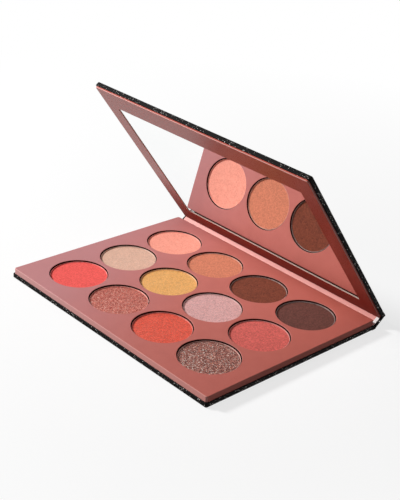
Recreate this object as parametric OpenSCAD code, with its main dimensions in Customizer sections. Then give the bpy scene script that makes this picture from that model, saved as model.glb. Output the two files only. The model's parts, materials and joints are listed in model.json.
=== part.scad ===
/* [Wells] */

// Diameter of each round well in the deck
well_d = 28; // [22:0.5:34]
// Width of deck left between neighbouring wells
well_web = 2.3; // [1.6:0.1:6]
// Rounding that the die leaves on the paper at the lip of each well
well_lip_r = 0.1; // [0.05:0.01:0.15]
// Deck left of the first column and right of the last
side_margin = 8; // [4:0.5:20]
// Deck in front of the first row
front_margin = 7.8; // [6:0.1:20]
// Deck behind the last row
rear_margin = 8.4; // [6:0.1:20]

/* [Tray] */

// Thickness of the die-cut board that the wells pass through
tray_board_t = 2.25; // [1.8:0.05:6]
// Thickness of the sheet that closes the wells from below
tray_floor_t = 0.3; // [0.2:0.05:1]
// Radius of the tray board's corners, seen from above
tray_corner_r = 0.9; // [0.7:0.1:6]
// Rounding along the tray board's upper edges
tray_edge_r = 0.15; // [0.1:0.05:0.6]

/* [Pans] */

// Gap between a pan and the wall of its well
pan_clearance = 0.4; // [0.1:0.05:1.5]
// Thickness of the pan's metal
pan_wall = 0.35; // [0.15:0.05:0.45]
// Outside radius of the bend round the pan's floor
pan_bend_r = 0.6; // [0.5:0.05:1]
// Depth of the pan's rim below the deck
rim_drop = 0.65; // [0.2:0.05:1]
// Depth of the powder below the pan's rim
powder_drop = 0.3; // [0.05:0.05:0.6]
// Bevel that the press leaves round the powder's edge
powder_bevel = 0.2; // [0.05:0.05:0.5]

/* [Case] */

// Thickness of the greyboard in both covers
cover_board_t = 1.9; // [1.2:0.1:4]
// Thickness of the greyboard in the spine
spine_board_t = 0.7; // [0.6:0.1:4]
// Thickness of the wrapping and lining papers
paper_t = 0.15; // [0.08:0.01:0.25]
// How far the covers stand out past the tray and the lid frame
overhang = 0.5; // [0.2:0.1:4]
// Radius of the cover boards' corners, seen from above
cover_corner_r = 0.7; // [0.5:0.1:6]
// Rounding along the cover boards' edges
cover_edge_r = 0.25; // [0.1:0.05:0.4]
// Width of black paper turned in over the covers' inner faces
turn_in = 12; // [6:0.5:20]
// Width of black paper turned in at each end of the spine
spine_turn_in = 1.2; // [0.6:0.1:10]
// Width of lining pasted to each cover beside the spine
lining_lap = 12; // [6:0.5:20]

/* [Lid] */

// Width of the frame's bars at the two sides of the window
frame_side = 8.8; // [8:0.1:25]
// Width of the frame's bar along the lid's free edge
frame_free = 11.9; // [10.5:0.1:25]
// Width of the frame's bar beside the spine
frame_hinge = 10.1; // [8:0.1:25]
// Thickness of the card that faces the frame
frame_card_t = 0.2; // [0.15:0.05:2]
// Radius of the lid frame's corners, seen from above
frame_corner_r = 0.9; // [0.7:0.1:6]
// Rounding along the outer edges of the frame's card
frame_edge_r = 0.15; // [0.1:0.05:0.3]
// Rounding that the die leaves on the paper round the window
window_lip_r = 0.12; // [0.05:0.01:0.15]
// Thickness of the silvered sheet that serves as the mirror
mirror_t = 0.4; // [0.3:0.05:2]
// How far the frame laps over the mirror's edge
mirror_lap = 2; // [1:0.25:4]
// Gap between the mirror's edge and the spacer round it
mirror_clearance = 0.25; // [0.1:0.05:0.8]
// Radius of the mirror's corners
mirror_corner_r = 1; // [0.5:0.25:6]
// Thickness of the tape behind the mirror
tape_t = 0.05; // [0.05:0.05:0.5]
// Distance from the mirror's edge to its tape
tape_inset = 4; // [1:0.5:20]

/* [Magnets] */

// Diameter of the closing magnets
magnet_d = 5; // [3:0.5:6]
// Thickness of the magnets in the tray
magnet_t = 1.2; // [0.6:0.1:1.5]
// Distance from the tray's front edge to the magnets' centres
magnet_inset = 3.9; // [3.4:0.1:4.5]
// Gap round a magnet in its pocket
magnet_clearance = 0.1; // [0.05:0.05:0.3]

/* [Hinge] */

// Turn of the spine out of its closed, upright place
spine_angle = 52; // [0:0.5:90]
// Turn of the lid out of its closed, square place on the spine
lid_angle = 0.3; // [0:0.1:90]
// Gap between the tray and the spine when shut
hinge_gap = 0.3; // [0.2:0.05:1]
// Gap between the deck and the lid frame when shut
closed_gap = 0.2; // [0.1:0.05:1]
// Paper left free on each side of a crease
crease_gap = 0.3; // [0.2:0.05:0.6]

/* [Hidden] */

$fn = 96;
columns = 4;
rows = 3;
// Length by which a cut runs past the face that it opens
past = 1;

black = [0.06, 0.05, 0.05];
grey = [0.55, 0.53, 0.50];
dark_core = [0.30, 0.17, 0.14];
rose = [0.75, 0.42, 0.40];
tin = [0.78, 0.76, 0.74];
steel = [0.50, 0.51, 0.53];
white = [0.93, 0.93, 0.92];
silvered = [0.86, 0.89, 0.92];

// Tray, in plan and in height
pitch = well_d + well_web;
tray_w = (columns - 1)*pitch + well_d + 2*side_margin;
wells_d = (rows - 1)*pitch + well_d;
tray_front = -wells_d/2 - front_margin;
tray_rear = wells_d/2 + rear_margin;
tray_d = tray_rear - tray_front;
tray_y = (tray_front + tray_rear)/2;
tray_h = tray_floor_t + tray_board_t + paper_t;
cover_t = cover_board_t + 2*paper_t;
floor_z = cover_t + tray_floor_t;
deck_z = cover_t + tray_h;

// Pans and powders, measured from the sheet under the wells
pan_r = well_d/2 - pan_clearance;
pan_h = tray_board_t + paper_t - rim_drop;
powder_r = pan_r - pan_wall;
powder_h = pan_h - pan_wall - powder_drop;

// Lid frame, in plan and in height above the cover's inner face
spacer_t = tape_t + mirror_t;
frame_t = spacer_t + frame_card_t + paper_t;
window_w = tray_w - 2*frame_side;
window_d = tray_d - frame_free - frame_hinge;
window_y = tray_y + (frame_free - frame_hinge)/2;
mirror_w = window_w + 2*mirror_lap;
mirror_d = window_d + 2*mirror_lap;

// Covers and spine with the case shut
cover_w = tray_w + 2*overhang;
cover_front = tray_front - overhang;
board_rear = tray_rear - paper_t;
spine_t = spine_board_t + 2*paper_t;
crease_y = tray_rear + hinge_gap + spine_t;
closed_h = 2*cover_t + tray_h + closed_gap + frame_t;
spine_end = 2*paper_t + crease_gap;
spine_h = closed_h - 2*spine_end;

// Rectangle with rounded corners, centred
module round_rect(w, d, r) {
    square([w - 2*r, d], center = true);
    square([w, d - 2*r], center = true);
    for (x = [-1, 1], y = [-1, 1])
        translate([x*(w/2 - r), y*(d/2 - r)]) circle(r);
}

// Section of a slab that stands on the axis, with its upper and, if wanted, its lower corners rounded
module slab_section(w, h, low_r, top_r) {
    translate([-w/2, low_r]) square([w, h - low_r - top_r]);
    translate([top_r - w/2, h/2]) square([w - 2*top_r, h/2]);
    translate([low_r - w/2, 0]) square([w - 2*low_r, h/2]);
    for (x = [-1, 1]) {
        translate([x*(w/2 - top_r), h - top_r]) circle(top_r);
        if (low_r > 0)
            translate([x*(w/2 - low_r), low_r]) circle(low_r);
    }
}

// Slab with rounded corners in plan and edges that roll over at the same radius all the way round
module slab(w, d, h, corner_r, low_r, top_r) {
    rotate([90, 0, 90])
        linear_extrude(w - 2*corner_r, center = true) slab_section(d, h, low_r, top_r);
    rotate([90, 0, 0])
        linear_extrude(d - 2*corner_r, center = true) slab_section(w, h, low_r, top_r);
    for (x = [-1, 1], y = [-1, 1])
        translate([x*(w/2 - corner_r), y*(d/2 - corner_r), 0])
            rotate_extrude()
                intersection() {
                    slab_section(2*corner_r, h, low_r, top_r);
                    square([corner_r, h]);
                }
}

// Section of a cut whose walls roll outwards at the top
module flared_section(w, roll, bottom, top) {
    translate([-w/2, bottom]) square([w, top + past - bottom]);
    difference() {
        translate([-w/2 - roll, top - roll]) square([w + 2*roll, roll + past]);
        for (x = [-1, 1])
            translate([x*(w/2 + roll), top - roll]) circle(roll);
    }
}

// Places its children at the well in a column and row, counted from the front left
module at_well(column, row) {
    translate([(column - (columns - 1)/2)*pitch, (row - (rows - 1)/2)*pitch, 0]) children();
}

// Repeats its children at every well
module at_every_well() {
    for (column = [0:columns - 1], row = [0:rows - 1])
        at_well(column, row) children();
}

// Cut through the deck's paper for one well, with a rolled lip
module well_cut() {
    cut_foot = deck_z - paper_t - past;
    rotate_extrude()
        intersection() {
            flared_section(well_d, well_lip_r, cut_foot, deck_z);
            translate([0, cut_foot]) square([well_d, paper_t + 2*past]);
        }
}

// Cut through the frame's paper for the window, with a rolled lip and mitred corners
module window_cut() {
    face = cover_t + frame_t;
    reach = 2*(window_lip_r + past);
    translate([0, window_y, 0])
        intersection() {
            rotate([90, 0, 90])
                linear_extrude(window_w + reach, center = true)
                    flared_section(window_d, window_lip_r, cover_t, face);
            rotate([90, 0, 0])
                linear_extrude(window_d + reach, center = true)
                    flared_section(window_w, window_lip_r, cover_t, face);
        }
}

// Moves the spine from its shut place to its open one, about the outer crease at the base
module open_spine() {
    translate([0, crease_y, 0])
        rotate([-spine_angle, 0, 0])
            translate([0, -crease_y, 0]) children();
}

// Moves the lid with the spine, and then about the outer crease between them
module open_lid() {
    open_spine()
        translate([0, crease_y, closed_h])
            rotate([-lid_angle, 0, 0])
                translate([0, -crease_y, -closed_h]) children();
}

// Turns a piece that is built as on the base, with its inner face up, over onto the lid
module on_lid() {
    open_lid()
        translate([0, 0, closed_h])
            mirror([0, 0, 1]) children();
}

// Cover, set in all round by a margin and cut square at the rear
module cover_block(margin, rear) {
    corner_r = cover_corner_r + paper_t - margin;
    edge_r = cover_edge_r + paper_t - margin;
    front = cover_front + margin;
    tail = rear + 2*corner_r;
    intersection() {
        translate([0, (front + tail)/2, margin])
            slab(cover_w - 2*margin, tail - front, cover_t - 2*margin, corner_r, edge_r, edge_r);
        translate([-cover_w/2 - past, front - past, -past])
            cube([cover_w + 2*past, rear - front + past, cover_t + 2*past]);
    }
}

// Black paper round a cover, turned in on three sides and running on as a lip to the crease
module cover_wrap() {
    difference() {
        cover_block(0, board_rear);
        cover_block(paper_t, board_rear + past);
        translate([turn_in - cover_w/2, cover_front + turn_in, cover_t - paper_t - past])
            cube([cover_w - 2*turn_in, tray_d, paper_t + 2*past]);
    }
    translate([-cover_w/2, board_rear - past, 0])
        cube([cover_w, crease_y - crease_gap - board_rear + past, paper_t]);
}

// Sheet that levels a cover's inner face between the turned-in edges and the lining
module cover_infill() {
    infill_front = cover_front + turn_in;
    infill_rear = board_rear - lining_lap;
    translate([turn_in - cover_w/2, infill_front, cover_t - paper_t])
        cube([cover_w - 2*turn_in, infill_rear - infill_front, paper_t]);
}

// Lining beside the spine: pasted to the cover, folded down its rear edge and out over the lip
module cover_lining() {
    leg_w = cover_w - 2*spine_turn_in;
    lap_w = cover_w - 2*turn_in;
    translate([-lap_w/2, board_rear - lining_lap, cover_t - paper_t])
        cube([lap_w, lining_lap + paper_t, paper_t]);
    translate([-leg_w/2, board_rear, paper_t])
        cube([leg_w, paper_t, cover_board_t + paper_t]);
    translate([-leg_w/2, board_rear, paper_t])
        cube([leg_w, crease_y - crease_gap - paper_t - board_rear, paper_t]);
}

// Outline of the spine's board seen along its length from above, set in by a margin
module spine_outline(margin) {
    translate([0, crease_y - spine_t/2])
        round_rect(cover_w - 2*margin, spine_t - 2*margin, cover_edge_r + paper_t - margin);
}

// Upright band of paper on the spine's inner face, between the turned-in ends
module spine_inner_band() {
    translate([spine_turn_in - cover_w/2, crease_y - spine_t])
        square([cover_w - 2*spine_turn_in, paper_t]);
}

// Section of a pressed cup from the axis out, with a bend round its floor
module cup_section(r, h, bend_r) {
    square([r - bend_r, h]);
    translate([0, bend_r]) square([r, h - bend_r]);
    translate([r - bend_r, bend_r]) circle(bend_r);
}

// Pressed tin pan with a rounded rim, standing on the sheet under its well
module pan() {
    translate([0, 0, floor_z])
        rotate_extrude() {
            difference() {
                cup_section(pan_r, pan_h - pan_wall/2, pan_bend_r);
                translate([0, pan_wall])
                    cup_section(powder_r, pan_h, pan_bend_r - pan_wall);
            }
            translate([pan_r - pan_wall/2, pan_h - pan_wall/2]) circle(pan_wall/2);
        }
}

// Pressed cake of powder that fills its pan, with a bevelled edge
module powder() {
    bevel_z = powder_h - powder_bevel;
    translate([0, 0, floor_z + pan_wall])
        rotate_extrude()
            intersection() {
                cup_section(powder_r, powder_h, pan_bend_r - pan_wall);
                polygon([
                    [0, 0],
                    [powder_r, 0],
                    [powder_r, bevel_z],
                    [powder_r - powder_bevel, powder_h],
                    [0, powder_h]
                ]);
            }
}

// Places its children on the two closing magnets' axes
module at_magnets() {
    for (x = [-1, 1])
        translate([x*pitch, tray_front + magnet_inset, 0]) children();
}

// Closed block of the tray inside its paper, from the cover up, or from lower down where it is a cut
module tray_core(drop = 0) {
    translate([0, tray_y, cover_t - drop])
        slab(tray_w - 2*paper_t, tray_d - 2*paper_t, tray_h - paper_t + drop,
            tray_corner_r, 0, tray_edge_r);
}

// Closed block of the lid frame inside its paper, from the cover up, or from lower down where it is a cut
module frame_core(drop = 0) {
    translate([0, tray_y, cover_t - drop])
        slab(tray_w - 2*paper_t, tray_d - 2*paper_t, frame_t - paper_t + drop,
            frame_corner_r, 0, frame_edge_r);
}

// Half-space above a height, wide enough for the whole tray or frame
module above(z) {
    translate([-tray_w, -tray_d, z]) cube([2*tray_w, 2*tray_d, deck_z + frame_t]);
}

module base_wrap() {
    color(black) cover_wrap();
}

module base_board() {
    color(grey) cover_block(paper_t, board_rear);
}

module base_infill() {
    color(white) cover_infill();
}

module base_lining() {
    color(rose) cover_lining();
}

module tray_floor() {
    color(grey)
        translate([0, tray_y, cover_t])
            linear_extrude(tray_floor_t)
                round_rect(tray_w - 2*paper_t, tray_d - 2*paper_t, tray_corner_r);
}

module tray_board() {
    color(dark_core)
        difference() {
            intersection() {
                tray_core();
                above(floor_z);
            }
            at_every_well()
                translate([0, 0, floor_z - past]) cylinder(d = well_d, h = tray_board_t + 2*past);
            at_magnets()
                translate([0, 0, floor_z - past])
                    cylinder(d = magnet_d + 2*magnet_clearance, h = magnet_t + magnet_clearance + past);
        }
}

module tray_wrap() {
    color(rose)
        difference() {
            translate([0, tray_y, cover_t])
                slab(tray_w, tray_d, tray_h, tray_corner_r + paper_t, 0, tray_edge_r + paper_t);
            tray_core(past);
            at_every_well() well_cut();
        }
}

module tray_magnets() {
    color(steel)
        at_magnets()
            translate([0, 0, floor_z]) cylinder(d = magnet_d, h = magnet_t);
}

module pan_coral() { color(tin) at_well(0, 0) pan(); }
module pan_rosewood() { color(tin) at_well(1, 0) pan(); }
module pan_vermilion() { color(tin) at_well(2, 0) pan(); }
module pan_taupe() { color(tin) at_well(3, 0) pan(); }
module pan_beige() { color(tin) at_well(0, 1) pan(); }
module pan_gold() { color(tin) at_well(1, 1) pan(); }
module pan_lilac() { color(tin) at_well(2, 1) pan(); }
module pan_brick() { color(tin) at_well(3, 1) pan(); }
module pan_peach() { color(tin) at_well(0, 2) pan(); }
module pan_tan() { color(tin) at_well(1, 2) pan(); }
module pan_brown() { color(tin) at_well(2, 2) pan(); }
module pan_espresso() { color(tin) at_well(3, 2) pan(); }

module powder_coral() { color([0.98, 0.38, 0.36]) at_well(0, 0) powder(); }
module powder_rosewood() { color([0.75, 0.44, 0.39]) at_well(1, 0) powder(); }
module powder_vermilion() { color([0.87, 0.36, 0.29]) at_well(2, 0) powder(); }
module powder_taupe() { color([0.55, 0.41, 0.37]) at_well(3, 0) powder(); }
module powder_beige() { color([0.87, 0.70, 0.62]) at_well(0, 1) powder(); }
module powder_gold() { color([0.90, 0.67, 0.41]) at_well(1, 1) powder(); }
module powder_lilac() { color([0.83, 0.65, 0.65]) at_well(2, 1) powder(); }
module powder_brick() { color([0.80, 0.38, 0.35]) at_well(3, 1) powder(); }
module powder_peach() { color([0.99, 0.63, 0.55]) at_well(0, 2) powder(); }
module powder_tan() { color([0.85, 0.51, 0.39]) at_well(1, 2) powder(); }
module powder_brown() { color([0.48, 0.26, 0.19]) at_well(2, 2) powder(); }
module powder_espresso() { color([0.40, 0.25, 0.23]) at_well(3, 2) powder(); }

module spine_wrap() {
    color(black)
        open_spine() {
            translate([0, 0, spine_end])
                linear_extrude(spine_h)
                    difference() {
                        spine_outline(0);
                        spine_outline(paper_t);
                        spine_inner_band();
                    }
            translate([-cover_w/2 + paper_t + cover_edge_r, crease_y - paper_t, crease_gap])
                cube([cover_w - 2*(paper_t + cover_edge_r), paper_t, closed_h - 2*crease_gap]);
        }
}

module spine_board() {
    color(grey)
        open_spine()
            translate([0, 0, spine_end])
                linear_extrude(spine_h) spine_outline(paper_t);
}

module spine_lining() {
    color(rose)
        open_spine()
            translate([0, 0, spine_end])
                linear_extrude(spine_h) spine_inner_band();
}

module lid_wrap() {
    color(black) on_lid() cover_wrap();
}

module lid_board() {
    color(grey) on_lid() cover_block(paper_t, board_rear);
}

module lid_infill() {
    color(white) on_lid() cover_infill();
}

module lid_lining() {
    color(rose) on_lid() cover_lining();
}

module mirror_spacer() {
    opening_gap = 2*mirror_clearance;
    color(grey)
        on_lid()
            translate([0, 0, cover_t])
                linear_extrude(spacer_t)
                    difference() {
                        translate([0, tray_y])
                            round_rect(tray_w - 2*paper_t, tray_d - 2*paper_t, frame_corner_r);
                        translate([0, window_y])
                            round_rect(mirror_w + opening_gap, mirror_d + opening_gap, mirror_corner_r);
                        at_magnets() circle(d = magnet_d + 2*magnet_clearance);
                    }
}

module mirror_tape() {
    color(white)
        on_lid()
            translate([0, window_y, cover_t])
                linear_extrude(tape_t)
                    square([mirror_w - 2*tape_inset, mirror_d - 2*tape_inset], center = true);
}

module mirror_sheet() {
    color(silvered)
        on_lid()
            translate([0, window_y, cover_t + tape_t])
                linear_extrude(mirror_t) round_rect(mirror_w, mirror_d, mirror_corner_r);
}

module frame_card() {
    color(grey)
        on_lid()
            difference() {
                intersection() {
                    frame_core();
                    above(cover_t + spacer_t);
                }
                translate([-window_w/2, window_y - window_d/2, cover_t]) cube([window_w, window_d, frame_t]);
            }
}

module frame_wrap() {
    color(rose)
        on_lid()
            difference() {
                translate([0, tray_y, cover_t])
                    slab(tray_w, tray_d, frame_t, frame_corner_r + paper_t, 0, frame_edge_r + paper_t);
                frame_core(past);
                window_cut();
            }
}

module lid_magnets() {
    color(steel)
        on_lid()
            at_magnets()
                translate([0, 0, cover_t]) cylinder(d = magnet_d, h = spacer_t);
}

base_wrap();
base_board();
base_infill();
base_lining();
tray_floor();
tray_board();
tray_wrap();
tray_magnets();
pan_coral();
pan_rosewood();
pan_vermilion();
pan_taupe();
pan_beige();
pan_gold();
pan_lilac();
pan_brick();
pan_peach();
pan_tan();
pan_brown();
pan_espresso();
powder_coral();
powder_rosewood();
powder_vermilion();
powder_taupe();
powder_beige();
powder_gold();
powder_lilac();
powder_brick();
powder_peach();
powder_tan();
powder_brown();
powder_espresso();
spine_wrap();
spine_board();
spine_lining();
lid_wrap();
lid_board();
lid_infill();
lid_lining();
mirror_spacer();
mirror_tape();
mirror_sheet();
frame_card();
frame_wrap();
lid_magnets();
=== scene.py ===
import json
import math

import bpy
from mathutils import Matrix, Vector


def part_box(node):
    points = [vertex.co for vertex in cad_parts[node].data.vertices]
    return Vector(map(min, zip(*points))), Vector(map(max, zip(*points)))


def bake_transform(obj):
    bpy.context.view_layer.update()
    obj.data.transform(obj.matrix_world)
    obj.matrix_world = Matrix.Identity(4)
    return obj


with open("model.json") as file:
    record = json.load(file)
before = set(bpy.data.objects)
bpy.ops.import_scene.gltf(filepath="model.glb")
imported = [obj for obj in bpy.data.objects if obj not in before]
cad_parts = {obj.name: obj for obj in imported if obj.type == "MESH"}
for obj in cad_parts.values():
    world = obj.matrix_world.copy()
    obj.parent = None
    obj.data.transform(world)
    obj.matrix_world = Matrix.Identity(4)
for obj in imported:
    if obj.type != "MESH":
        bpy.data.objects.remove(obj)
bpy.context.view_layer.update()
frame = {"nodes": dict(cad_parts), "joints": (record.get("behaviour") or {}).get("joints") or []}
scene = bpy.context.scene


# Black covering paper: a dark sheet with fine glitter in its lacquer, wrapped round both greyboard covers and
# the spine, glued down and turned in at the edges. Its flakes lie at all angles, so only a few of them glint.

NOISE_LOW, NOISE_HIGH = 0.3, 0.7


def put(tree, kind, inputs, **settings):
    made = tree.nodes.new("ShaderNode" + kind)
    for name, value in settings.items():
        setattr(made, name, value)
    for name, value in inputs.items():
        if isinstance(value, bpy.types.NodeSocket):
            tree.links.new(value, made.inputs[name])
        else:
            made.inputs[name].default_value = value
    return made


def blank_finish(name):
    finish = bpy.data.materials.new(name)
    finish.use_nodes = True
    tree = finish.node_tree
    where = put(tree, "TexCoord", {}).outputs["Object"]
    return finish, tree, tree.nodes["Principled BSDF"], where


def maths(tree, operation, first, second):
    return put(tree, "Math", {0: first, 1: second}, operation=operation).outputs[0]


def spread(tree, value, low, high, to_low, to_high):
    made = put(tree, "MapRange", {0: value, 1: low, 2: high, 3: to_low, 4: to_high})
    return made.outputs[0]


def between(tree, share, bare, full):
    return spread(tree, share, 0, 1, bare, full)


def ranged(tree, noise, low, high):
    return spread(tree, noise, NOISE_LOW, NOISE_HIGH, low, high)


def mixed(tree, share, first, second):
    made = put(tree, "Mix", {0: share, 6: first, 7: second}, data_type="RGBA")
    return made.outputs[2]


def mottled(tree, noise, dark, light):
    return mixed(tree, ranged(tree, noise, 0, 1), dark, light)


def ink(red, green, blue):
    def linear(level):
        level /= 255
        return level / 12.92 if level <= 0.04045 else ((level + 0.055) / 1.055) ** 2.4
    return linear(red), linear(green), linear(blue), 1


def cloudy(tree, where, size, detail):
    return put(tree, "TexNoise", {"Vector": where, "Scale": 1 / size, "Detail": detail}).outputs[0]


def flakes(tree, where, size, share, reach):
    cells = put(tree, "TexVoronoi", {"Vector": where, "Scale": 1 / size})
    parts = put(tree, "SeparateColor", {0: cells.outputs["Color"]})
    chosen = maths(tree, "LESS_THAN", parts.outputs[0], share)
    near = maths(tree, "LESS_THAN", cells.outputs["Distance"], reach)
    return maths(tree, "MULTIPLY", chosen, near), cells.outputs["Color"], parts.outputs[1]


def tilted(tree, normal, turns, mask, lean):
    centred = put(tree, "VectorMath", {0: turns, 1: (0.5, 0.5, 0.5)}, operation="SUBTRACT")
    strength = maths(tree, "MULTIPLY", mask, lean)
    push = put(tree, "VectorMath", {0: centred.outputs[0], "Scale": strength}, operation="SCALE")
    leaning = put(tree, "VectorMath", {0: normal, 1: push.outputs[0]}, operation="ADD")
    return put(tree, "VectorMath", {0: leaning.outputs[0]}, operation="NORMALIZE").outputs[0]


def raised(tree, height, depth, strength):
    made = put(tree, "Bump", {"Height": height, "Distance": depth, "Strength": strength})
    return made.outputs["Normal"]


def set_on(tree, shader, **sockets):
    for name, value in sockets.items():
        socket = shader.inputs[name.replace("_", " ")]
        if isinstance(value, bpy.types.NodeSocket):
            tree.links.new(value, socket)
        else:
            socket.default_value = value


def dress(finish, *names):
    for name in names:
        piece = frame["nodes"][name]
        piece.data.materials.clear()
        piece.data.materials.append(finish)


black_paper, tree, shader, where = blank_finish("glitter_black_paper")
glitter, glitter_turns, glitter_tone = flakes(tree, where, size=0.00042, share=0.075, reach=0.42)
dust_and_shade = flakes(tree, where, size=0.00024, share=0.02, reach=0.4)[0]
grain = cloudy(tree, where, size=0.0004, detail=2)
ground = mottled(tree, grain, ink(8, 6, 6), ink(17, 14, 14))
dust_and_sheen = mixed(tree, dust_and_shade, ground, ink(132, 125, 120))
flake_colour = mixed(tree, glitter_tone, ink(120, 114, 110), ink(236, 231, 226))
surface = raised(tree, grain, depth=0.00003, strength=0.6)
set_on(
    tree, shader,
    Base_Color=mixed(tree, glitter, dust_and_sheen, flake_colour),
    Metallic=maths(tree, "MAXIMUM", glitter, dust_and_shade),
    Roughness=between(tree, glitter, bare=0.6, full=0.3),
    Normal=tilted(tree, surface, glitter_turns, glitter, lean=1.2),
    Specular_IOR_Level=0.05,
)
dress(black_paper, "base_wrap", "spine_wrap", "lid_wrap")


# Greyboard: pulped-paper board of the two covers, the spine, the tray's floor, the mirror's spacer and the
# frame. It is die-cut and shows only as bare edges, with short fibres and layers, in the hinge grooves and
# as a fine grey line round the window.

def stretched(tree, where, scale):
    return put(tree, "Mapping", {"Vector": where, "Scale": scale}).outputs[0]


greyboard, tree, shader, where = blank_finish("greyboard")
fibre = cloudy(tree, stretched(tree, where, (1, 1, 6)), size=0.0006, detail=6)
speck = cloudy(tree, where, size=0.00025, detail=1)
speck_share = spread(tree, speck, low=0.68, high=0.74, to_low=0, to_high=0.6)
pulp = mottled(tree, fibre, ink(142, 136, 127), ink(176, 170, 160))
set_on(
    tree, shader,
    Base_Color=mixed(tree, speck_share, pulp, ink(92, 84, 76)),
    Roughness=0.93,
    Normal=raised(tree, fibre, depth=0.00006, strength=0.7),
)
dress(greyboard, "base_board", "spine_board", "lid_board", "tray_floor", "mirror_spacer", "frame_card")


# Levelling sheets: plain white card between the turned-in edges of the covers, so that the tray and the mirror
# are glued down on a flat face. They lie between glued faces.

white_card, tree, shader, where = blank_finish("white_card")
fibre = cloudy(tree, where, size=0.0005, detail=4)
set_on(
    tree, shader,
    Base_Color=mottled(tree, fibre, ink(226, 224, 219), ink(242, 241, 238)),
    Roughness=0.85,
    Normal=raised(tree, fibre, depth=0.00003, strength=0.5),
)
dress(white_card, "base_infill", "lid_infill")


# Brown board: the tray's board, dyed brown right through and painted darker still as painted shade down in the
# wells, so that the edges that the die leaves bare there read as thin dark lines round the pans.

# Painted shade: the board's colour is nearly black, standing in for the shade on the well walls.
brown_board_and_shade, tree, shader, where = blank_finish("brown_board_and_shade")
layers = cloudy(tree, stretched(tree, where, (1, 1, 5)), size=0.0007, detail=5)
set_on(
    tree, shader,
    Base_Color=mottled(tree, layers, ink(36, 12, 8), ink(54, 22, 16)),
    Roughness=0.95,
    Normal=raised(tree, layers, depth=0.00005, strength=0.6),
    Specular_IOR_Level=0.1,
)
dress(brown_board_and_shade, "tray_board")


# Closing magnets: nickel-plated discs, a pair under the deck's front margin and a pair behind the lid frame,
# laid in their pockets and hidden between the boards.

nickel, tree, shader, where = blank_finish("nickel_plate")
plating = cloudy(tree, where, size=0.0008, detail=3)
set_on(
    tree, shader,
    Base_Color=mixed(tree, plating, ink(168, 166, 162), ink(206, 204, 198)),
    Metallic=1.0,
    Roughness=ranged(tree, plating, low=0.2, high=0.34),
)
dress(nickel, "tray_magnets", "lid_magnets")


# Rose facing papers: coated sheets printed one even rose under a thin satin film, rolled over the outer edges of
# the tray and the lid frame and die-cut flush with the board. Painted on top are a painted sheen that leaves the
# deck paler at the front left, painted shade that leaves it browner at the rear right, painted light on faces
# turned to the front, painted highlights on the rolled edges, and painted shade that deepens the frame's rose
# all over and darkest beside the hinge.

ROLL_BEGINS, ROLL_FULL = 0.97, 0.8
WALL_NEAR, WALL_REACHED = 0.3, 0.1
ROLL_DULLED = 0.25
FILM_UNEVEN = 0.1


def rose_sheet(name, deep, rose, pale, gloss, rough):
    finish, tree, shader, where = blank_finish(name)
    cloud = cloudy(tree, where, size=0.006, detail=4)
    fibre = cloudy(tree, stretched(tree, where, (1, 3, 1)), size=0.0005, detail=5)
    tone = mottled(tree, cloud, deep, rose)
    pale_fibre = spread(tree, fibre, low=0.45, high=0.75, to_low=0, to_high=0.8)
    tone = mixed(tree, pale_fibre, tone, pale)
    film = ranged(tree, fibre, low=rough, high=rough + FILM_UNEVEN)
    set_on(
        tree, shader,
        Base_Color=tone,
        Roughness=film,
        Normal=raised(tree, fibre, depth=0.000012, strength=0.35),
        Specular_IOR_Level=gloss,
    )
    return finish, tree, shader, where, tone, film


def measured(tree, vector, direction):
    made = put(tree, "VectorMath", {0: vector, 1: direction}, operation="DOT_PRODUCT")
    return made.outputs["Value"]


def facing_towards(tree, direction):
    return measured(tree, put(tree, "TexCoord", {}).outputs["Normal"], direction)


# Painted highlight: the rolled edges are painted paler where the film would catch the light; they are also made
# rougher.
def rolled_edge_highlights(tree, shader, facing, tone, film, share):
    lean = facing_towards(tree, facing)
    off_the_face = spread(tree, lean, ROLL_FULL, ROLL_BEGINS, 1, 0)
    above_the_wall = spread(tree, lean, WALL_REACHED, WALL_NEAR, 0, 1)
    rolled = maths(tree, "MULTIPLY", off_the_face, above_the_wall)
    painted_highlight = maths(tree, "MULTIPLY", rolled, share)
    set_on(
        tree, shader,
        Base_Color=mixed(tree, painted_highlight, tone, ink(238, 196, 188)),
        Roughness=maths(tree, "ADD", film, maths(tree, "MULTIPLY", rolled, ROLL_DULLED)),
    )


SHEEN_REACH = 0.065
PAINTED_SHEEN_SHARE, PAINTED_SHADE_SHARE, FRONT_LIGHT_SHARE = 0.5, 0.4, 0.36
FRONT_LIGHT_FROM, FRONT_LIGHT_FULL = 0.2, 0.6
ACROSS_THE_DECK = (1, 0.5, 0)
UPWARDS, FORWARDS = (0, 0, 1), (0, -1, 0)
deck_paper, tree, shader, where, tone, film = rose_sheet(
    "rose_deck_paper", ink(178, 94, 84), ink(185, 100, 90), ink(192, 108, 99), gloss=0.55, rough=0.6)
set_on(tree, shader, IOR=1.5)
# Painted sheen and painted shade: the deck is paler and cooler towards the front left, where its film reflects
# the white room, and browner towards the rear right, under the lid.
across = measured(tree, where, ACROSS_THE_DECK)
to_the_left = spread(tree, across, -SHEEN_REACH, 0, PAINTED_SHEEN_SHARE, 0)
to_the_right = spread(tree, across, 0, SHEEN_REACH, 0, PAINTED_SHADE_SHARE)
painted_sheen = mixed(tree, to_the_left, tone, ink(181, 138, 145))
dust_and_sheen = mixed(tree, to_the_right, painted_sheen, ink(172, 68, 44))
# Painted light: faces turned to the front, the tray's front wall and the rear lips of the wells, are painted
# paler, as if lit by the lamp at the front left.
at_the_front = spread(
    tree, facing_towards(tree, FORWARDS), FRONT_LIGHT_FROM, FRONT_LIGHT_FULL, 0, FRONT_LIGHT_SHARE)
front_lit = mixed(tree, at_the_front, dust_and_sheen, ink(248, 188, 181))
rolled_edge_highlights(tree, shader, UPWARDS, front_lit, film, share=0.15)
dress(deck_paper, "tray_wrap")

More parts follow.
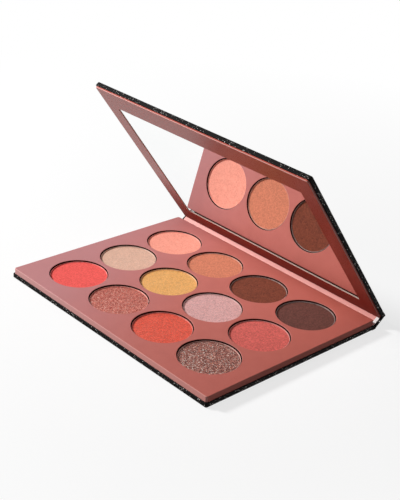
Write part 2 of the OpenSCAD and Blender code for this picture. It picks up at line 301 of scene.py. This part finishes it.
hinges = {joint["name"]: joint for joint in frame["joints"]}
base_hinge = Vector(hinges["spine_fold"]["pos_m"])
lid_hinge = Vector(hinges["lid_fold"]["pos_m"])
spine_fold, lid_fold = (math.radians(hinges[name]["range_deg"][1]) for name in ("spine_fold", "lid_fold"))
lid_lean = spine_fold + lid_fold
up_the_lid = Vector((0, math.cos(lid_lean), math.sin(lid_lean)))
lid_facing = Vector((0, -math.sin(lid_lean), math.cos(lid_lean)))
HINGE_SHADE_FROM, HINGE_SHADE_TO = 0.012, 0.042
HINGE_SHADE_DULLED = 0.4
# Painted shade: the frame's sheet is given a deeper, redder rose than the deck's, for the shade on the lid's
# inner side.
frame_paper, tree, shader, where, tone, film = rose_sheet(
    "rose_frame_paper", ink(178, 74, 58), ink(184, 79, 63), ink(191, 87, 72), gloss=0.32, rough=0.25)
# Painted shade: the frame's rose darkens, and its film dulls, towards the hinge, where the lid and the spine
# shade it.
height = measured(tree, where, up_the_lid)
foot = lid_hinge.dot(up_the_lid)
dust_and_shade = spread(tree, height, foot + HINGE_SHADE_FROM, foot + HINGE_SHADE_TO, 1, 0)
dulled = maths(tree, "ADD", film, maths(tree, "MULTIPLY", dust_and_shade, HINGE_SHADE_DULLED))
hinge_shaded = mixed(tree, dust_and_shade, tone, ink(141, 40, 20))
rolled_edge_highlights(tree, shader, lid_facing, hinge_shaded, dulled, share=0.6)
dress(frame_paper, "frame_wrap")


# Rose lining: a sheet pasted over the spine and down into the hinge groove on both sides of it. Its rose is
# painted paler than the deck's as a painted highlight for the lamp's gloss along the spine. It is printed black
# beside the tray, as painted shade in the groove, and the print stops short of the right-hand end, where the
# bare white sheet shows beside the black paper.

PRINT_STOPS = 0.0016
ROSE_STARTS = 0.0014
# Painted highlight: the lining's rose is paler than the deck's.
rose_lining, tree, shader, where, tone = rose_sheet(
    "rose_lining", ink(214, 128, 117), ink(221, 135, 124), ink(229, 145, 135), gloss=0.95, rough=0.44)[:5]
along_spine = Vector((0, math.cos(spine_fold), math.sin(spine_fold)))
climb = measured(tree, where, along_spine)
# Painted shade: the lining is printed black low in the hinge groove, where the tray's rear edge shades it.
groove = maths(tree, "LESS_THAN", climb, base_hinge.dot(along_spine) + ROSE_STARTS)
print_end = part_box("spine_lining")[1].x - PRINT_STOPS
bare = maths(tree, "GREATER_THAN", put(tree, "SeparateXYZ", {0: where}).outputs[0], print_end)
painted_groove_shade = mixed(tree, groove, tone, ink(20, 15, 15))
set_on(tree, shader, Base_Color=mixed(tree, bare, painted_groove_shade, ink(238, 232, 230)))
dress(rose_lining, "base_lining", "spine_lining", "lid_lining")


# Creases: between the boards the covering paper and the lining run on alone, without board, and fold. There are
# four such strips: a black one outside and a rose one inside, at the base's side of the spine and at the lid's.
# Each is tucked into the paper of the boards it joins, and the rose ones turn up the spine's cut edge.

PAPER = 0.00015
CREASE_GAP = 0.0003
SPINE_T = 0.001
STRIP_T = 0.00011
TUCK = 0.00025
TURN_UP_R = 0.00008
END_INSET = 0.00005
FOLD_STEPS, TURN_UP_STEPS = 8, 4
WELD = 0.000005
SMOOTH_BELOW = math.radians(40)
LIP_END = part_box("spine_wrap")[1].x - END_INSET
LINING_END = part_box("spine_lining")[1].x - END_INSET


def fold_edge(angle, centre, steps):
    bpy.ops.mesh.spin(steps=steps, angle=-angle, center=(0, *centre), axis=(1, 0, 0))


def run_on(direction, length):
    bpy.ops.mesh.extrude_region_move(
        TRANSFORM_OT_translate={"value": (0, direction[0] * length, direction[1] * length)})


def crease_strip(name, half, depth, reach, fold, turn_up):
    """A strip of paper along X whose fold lies on the X axis: it comes in along +Y at a depth inside the outer
    face, folds upwards, and then either runs on along the spine or turns up its edge."""
    bpy.ops.object.select_all(action="DESELECT")
    bpy.ops.mesh.primitive_plane_add(size=1, location=(0, -reach - TUCK / 2, depth))
    strip = bpy.context.active_object
    strip.name = name
    strip.scale = (2 * half, TUCK, 1)
    bpy.ops.object.transform_apply(location=True, rotation=True, scale=True)
    bpy.ops.object.mode_set(mode="EDIT")
    bpy.ops.mesh.select_mode(type="EDGE")
    bpy.ops.mesh.select_all(action="DESELECT")
    bpy.ops.object.mode_set(mode="OBJECT")
    for edge in strip.data.edges:
        edge.select = all(strip.data.vertices[end].co.y > -reach - TUCK / 4 for end in edge.vertices)
    bpy.ops.object.mode_set(mode="EDIT")
    straight = reach - depth * math.tan(fold / 2)
    radius = straight / math.tan(fold / 2)
    fold_edge(fold, (-reach, depth + radius), FOLD_STEPS)
    onward = (math.cos(fold), math.sin(fold))
    upward = (-math.sin(fold), math.cos(fold))
    if turn_up:
        end = (-depth * math.tan(fold / 2) + onward[0] * straight, depth + onward[1] * straight)
        bend_centre = (end[0] + upward[0] * TURN_UP_R, end[1] + upward[1] * TURN_UP_R)
        fold_edge(math.pi / 2, bend_centre, TURN_UP_STEPS)
        run_on(upward, SPINE_T - depth - TURN_UP_R - STRIP_T / 2)
    else:
        run_on(onward, TUCK)
    bpy.ops.mesh.select_all(action="SELECT")
    bpy.ops.mesh.remove_doubles(threshold=WELD)
    bpy.ops.mesh.normals_make_consistent(inside=False)
    bpy.ops.object.mode_set(mode="OBJECT")
    thickness = strip.modifiers.new("sheet", "SOLIDIFY")
    thickness.thickness = STRIP_T
    thickness.offset = 0
    bpy.ops.object.modifier_apply(modifier=thickness.name)
    bpy.ops.object.shade_smooth_by_angle(angle=SMOOTH_BELOW)
    return strip


placed = (
    ("base", base_hinge, (1, 0), (0, 1), spine_fold),
    ("lid", lid_hinge, tuple(-up_the_lid.yz), tuple(lid_facing.yz), lid_fold),
)
sheets = (
    ("_crease_black", LIP_END, PAPER / 2, CREASE_GAP, False, black_paper, "black_paper"),
    ("_crease_rose", LINING_END, 1.5 * PAPER, CREASE_GAP + PAPER, True, rose_lining, "rose_paper"),
)
for body, hinge, inward, inner, fold in placed:
    at_hinge = Matrix((
        (inward[0] * inner[1] - inward[1] * inner[0], 0, 0, 0),
        (0, inward[0], inner[0], hinge.y),
        (0, inward[1], inner[1], hinge.z),
        (0, 0, 0, 1)))
    for ending, half, depth, reach, turn_up, paper, slot in sheets:
        strip = crease_strip(body + ending, half, depth, reach, fold, turn_up)
        strip.matrix_world = at_hinge
        bpy.ops.object.transform_apply(location=True, rotation=True, scale=True)
        strip.data.materials.append(paper)
        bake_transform(strip)


# Pressed pans: round cups drawn from tinned sheet, with a rolled rim, standing on the sheet under the wells.
# Only their rims and a little of the inner wall show, as a thin ring that the pressing left dusted with powder.

SHADES = {
    "coral": ink(250, 93, 87), "rosewood": ink(230, 134, 117), "vermilion": ink(220, 84, 64),
    "taupe": ink(196, 130, 116), "beige": ink(220, 178, 156), "gold": ink(229, 168, 97),
    "lilac": ink(210, 160, 157), "brick": ink(206, 96, 88), "peach": ink(254, 160, 140),
    "tan": ink(204, 124, 95), "brown": ink(114, 55, 36), "espresso": ink(97, 55, 47),
}
for shade, colour in SHADES.items():
    dusted_tin, tree, shader, where = blank_finish("dusted_tin_" + shade)
    draw_lines = cloudy(tree, stretched(tree, where, (1, 1, 12)), size=0.0012, detail=4)
    dust_and_shade = ranged(tree, cloudy(tree, where, size=0.0009, detail=4), low=0.55, high=0.9)
    tin = mixed(tree, draw_lines, ink(206, 198, 192), ink(234, 229, 225))
    set_on(
        tree, shader,
        Base_Color=mixed(tree, dust_and_shade, tin, colour),
        Metallic=between(tree, dust_and_shade, bare=0.7, full=0),
        Roughness=between(tree, dust_and_shade, bare=0.35, full=0.75),
        Normal=raised(tree, draw_lines, depth=0.00002, strength=0.4),
        Specular_IOR_Level=0.3,
    )
    dress(dusted_tin, "pan_" + shade)


# Pressed powders: talc and mica with pigment, pressed into the pans under a cloth-faced punch. Plain shades are
# velvety with a fine grit, pearly ones hold mica as well, and two are coarse glitter with hardly any binder.

GRIT_SIZE = 0.0005
GRIT_DARK, GRIT_LIGHT = 0.65, 1.35
GRAIN_DEPTH, GRAIN_STRENGTH = 0.00008, 0.55
MICA_TINT, MICA_METAL, MICA_ROUGH = 0.5, 0.45, 0.32
CHIP_METAL, GLINT_METAL = 0.35, 0.7


def toned(colour, factor, lift=0):
    return tuple(min(1, level * factor + lift) for level in colour[:3]) + (1,)


def plain_powder(shade, rough, grit):
    finish, tree, shader, where = blank_finish("powder_" + shade)
    colour = SHADES[shade]
    cloud = cloudy(tree, where, size=0.0035, detail=3)
    grain = cloudy(tree, where, size=0.00032, detail=3)
    grit_tone = flakes(tree, where, GRIT_SIZE, share=1, reach=1)[2]
    gritty = mixed(tree, grit_tone, toned(colour, GRIT_DARK), toned(colour, GRIT_LIGHT))
    pale_grain = spread(tree, grain, low=0.5, high=0.8, to_low=0, to_high=0.9)
    tone = mottled(tree, cloud, toned(colour, 0.88), colour)
    tone = mixed(tree, pale_grain, tone, toned(colour, 1.1, lift=0.006))
    tone = mixed(tree, grit, tone, gritty)
    set_on(
        tree, shader,
        Base_Color=tone,
        Roughness=rough,
        Normal=raised(tree, grain, GRAIN_DEPTH, GRAIN_STRENGTH),
        Specular_IOR_Level=0.2,
        Sheen_Weight=0.03,
        Sheen_Roughness=0.45,
    )
    return finish, tree, shader, where, tone, grain


def pearl_powder(shade, mica, share, rough, grit):
    finish, tree, shader, where, tone, grain = plain_powder(shade, rough, grit)
    shine, turns = flakes(tree, where, size=0.00028, share=share, reach=0.5)[:2]
    surface = raised(tree, grain, GRAIN_DEPTH, GRAIN_STRENGTH)
    set_on(
        tree, shader,
        Base_Color=mixed(tree, maths(tree, "MULTIPLY", shine, MICA_TINT), tone, mica),
        Metallic=maths(tree, "MULTIPLY", shine, MICA_METAL),
        Roughness=between(tree, shine, bare=rough, full=MICA_ROUGH),
        Normal=tilted(tree, surface, turns, shine, lean=0.55),
    )
    return finish


def glitter_powder(shade, dark, spark):
    finish, tree, shader, where, tone, grain = plain_powder(shade, rough=0.6, grit=0)
    chip, turns, chip_tone = flakes(tree, where, size=0.0004, share=1.0, reach=0.6)
    glint = flakes(tree, where, size=0.00042, share=0.2, reach=0.5)[0]
    chips = mixed(tree, spread(tree, chip_tone, low=0.1, high=0.9, to_low=0, to_high=1), dark, tone)
    chip_metal = maths(tree, "MULTIPLY", chip, CHIP_METAL)
    glint_metal = maths(tree, "MULTIPLY", glint, GLINT_METAL)
    surface = raised(tree, grain, depth=0.0001, strength=0.6)
    set_on(
        tree, shader,
        Base_Color=mixed(tree, glint, chips, spark),
        Metallic=maths(tree, "MAXIMUM", chip_metal, glint_metal),
        Roughness=between(tree, glint, bare=0.42, full=0.2),
        Normal=tilted(tree, surface, turns, chip, lean=0.8),
    )
    return finish


plain_shades = {
    "coral": {"rough": 0.82, "grit": 0.55},
    "brick": {"rough": 0.7, "grit": 0.65},
    "peach": {"rough": 0.7, "grit": 0.4},
    "tan": {"rough": 0.7, "grit": 0.45},
    "brown": {"rough": 0.75, "grit": 1.0},
    "espresso": {"rough": 0.78, "grit": 0.8},
}
pearl_shades = {
    "vermilion": {"mica": ink(244, 130, 104), "share": 0.35, "rough": 0.5, "grit": 0.75},
    "beige": {"mica": ink(238, 206, 186), "share": 0.2, "rough": 0.65, "grit": 0.3},
    "gold": {"mica": ink(250, 206, 140), "share": 0.35, "rough": 0.5, "grit": 0.5},
    "lilac": {"mica": ink(240, 206, 208), "share": 0.4, "rough": 0.5, "grit": 0.6},
}
glitter_shades = {
    "rosewood": {"dark": ink(140, 58, 49), "spark": ink(248, 186, 168)},
    "taupe": {"dark": ink(80, 42, 36), "spark": ink(246, 228, 216)},
}
for shade, look in plain_shades.items():
    dress(plain_powder(shade, **look)[0], "powder_" + shade)
for shade, look in pearl_shades.items():
    dress(pearl_powder(shade, **look), "powder_" + shade)
for shade, look in glitter_shades.items():
    dress(glitter_powder(shade, **look), "powder_" + shade)


# Mirror: a thin silvered sheet, stuck to the lid cover by white tape, with its edges held under the frame. Its
# face is clean, with the faintest haze from handling, and the tape holds it a hair out of the lid's plane.

tape, tree, shader, where = blank_finish("mounting_tape")
foam = cloudy(tree, where, size=0.0003, detail=3)
set_on(
    tree, shader,
    Base_Color=mixed(tree, foam, ink(214, 214, 210), ink(236, 236, 233)),
    Roughness=0.7,
    Normal=raised(tree, foam, depth=0.00004, strength=0.5),
)
dress(tape, "mirror_tape")

TURNED_LEFT, TIPPED_UP = 0.01, 0.02
faced = (lid_facing - Vector((TURNED_LEFT, 0, 0)) + up_the_lid * TIPPED_UP).normalized()
faced_as_colour = (*(faced + Vector((1, 1, 1))) / 2, 1)
silvering, tree, shader, where = blank_finish("silvered_sheet")
haze = cloudy(tree, where, size=0.02, detail=4)
set_on(
    tree, shader,
    Base_Color=mixed(tree, haze, ink(249, 250, 250), ink(253, 254, 254)),
    Metallic=1.0,
    Roughness=spread(tree, haze, low=0.35, high=0.75, to_low=0.0, to_high=0.035),
    Normal=put(tree, "NormalMap", {"Color": faced_as_colour}, space="OBJECT").outputs[0],
)
dress(silvering, "mirror_sheet")


# Setting: a plain white floor that takes a soft shadow under the palette, white all round, and one soft lamp
# high at the front left, whose light skims the lid's inner side. Floor and world look white, but light little.

FLOOR_SIZE, FLOOR_DROP = 6, 0.0001
SHADOW_NEAR, SHADOW_FAR = 0.12, 0.4
WHITE_NEAR = 0.75
WORLD_LIGHT = 0.08
LAMP_PLACE, LAMP_AIM = Vector((-0.825, -0.462, 0.58)), Vector((0, 0, 0.02))
LAMP_SIDE, LAMP_POWER = 0.16, 17.0


def seen_rays(tree):
    rays = put(tree, "LightPath", {})
    seen = maths(tree, "MAXIMUM", rays.outputs["Is Camera Ray"], rays.outputs["Is Glossy Ray"])
    return maths(tree, "MAXIMUM", seen, rays.outputs["Is Transmission Ray"])


bpy.ops.object.select_all(action="DESELECT")
bpy.ops.mesh.primitive_plane_add(size=FLOOR_SIZE, location=(0, 0, -FLOOR_DROP))
floor = bpy.context.active_object
floor.name = "studio_floor"
floor_white, tree, shader, where = blank_finish("floor_white")
glow = put(tree, "Emission", {"Color": (1, 1, 1, 1), "Strength": 1.0})
seen = seen_rays(tree)
set_on(
    tree, shader,
    Base_Color=mixed(tree, seen, (0.32, 0.32, 0.32, 1), (0.97, 0.97, 0.97, 1)),
    Roughness=0.9,
    Specular_IOR_Level=0.0,
)
apart = put(tree, "VectorMath", {0: where}, operation="LENGTH").outputs["Value"]
white_share = maths(tree, "MULTIPLY", seen, spread(tree, apart, SHADOW_NEAR, SHADOW_FAR, WHITE_NEAR, 1.0))
blend_in = put(tree, "MixShader", {0: white_share, 1: shader.outputs[0], 2: glow.outputs[0]})
tree.links.new(blend_in.outputs[0], tree.nodes["Material Output"].inputs["Surface"])
floor.data.materials.append(floor_white)

world = bpy.data.worlds.new("studio_white")
scene.world = world
world.use_nodes = True
tree = world.node_tree
set_on(
    tree, tree.nodes["Background"],
    Color=(1, 1, 1, 1),
    Strength=between(tree, seen_rays(tree), bare=WORLD_LIGHT, full=1.0),
)

lamp = bpy.data.lights.new("left_softbox", "AREA")
lamp.shape = "SQUARE"
lamp.size = LAMP_SIDE
lamp.energy = LAMP_POWER
softbox = bpy.data.objects.new("left_softbox", lamp)
scene.collection.objects.link(softbox)
softbox.location = LAMP_PLACE
softbox.rotation_mode = "QUATERNION"
softbox.rotation_quaternion = (LAMP_AIM - LAMP_PLACE).to_track_quat("-Z", "Y")


# Camera: the photograph's own view, from the front right and above, with the long side of the picture upright.
# Its place and its three directions come from the rims of the twelve wells.

CAMERA_PLACE = (0.320982, -0.313582, 0.249067)
CAMERA_RIGHT = (0.675373, 0.733830, 0.073248)
CAMERA_UP = (-0.370617, 0.251860, 0.893985)
CAMERA_BACK = (0.637584, -0.630920, 0.442070)
lens = bpy.data.cameras.new("camera")
lens.lens = 78.83
lens.sensor_width = 36
lens.clip_start = 0.01
camera = bpy.data.objects.new("camera", lens)
scene.collection.objects.link(camera)
camera.matrix_world = Matrix.Translation(CAMERA_PLACE) @ Matrix(
    (CAMERA_RIGHT, CAMERA_UP, CAMERA_BACK)).transposed().to_4x4()
scene.camera = camera
scene.view_settings.view_transform = "Standard"
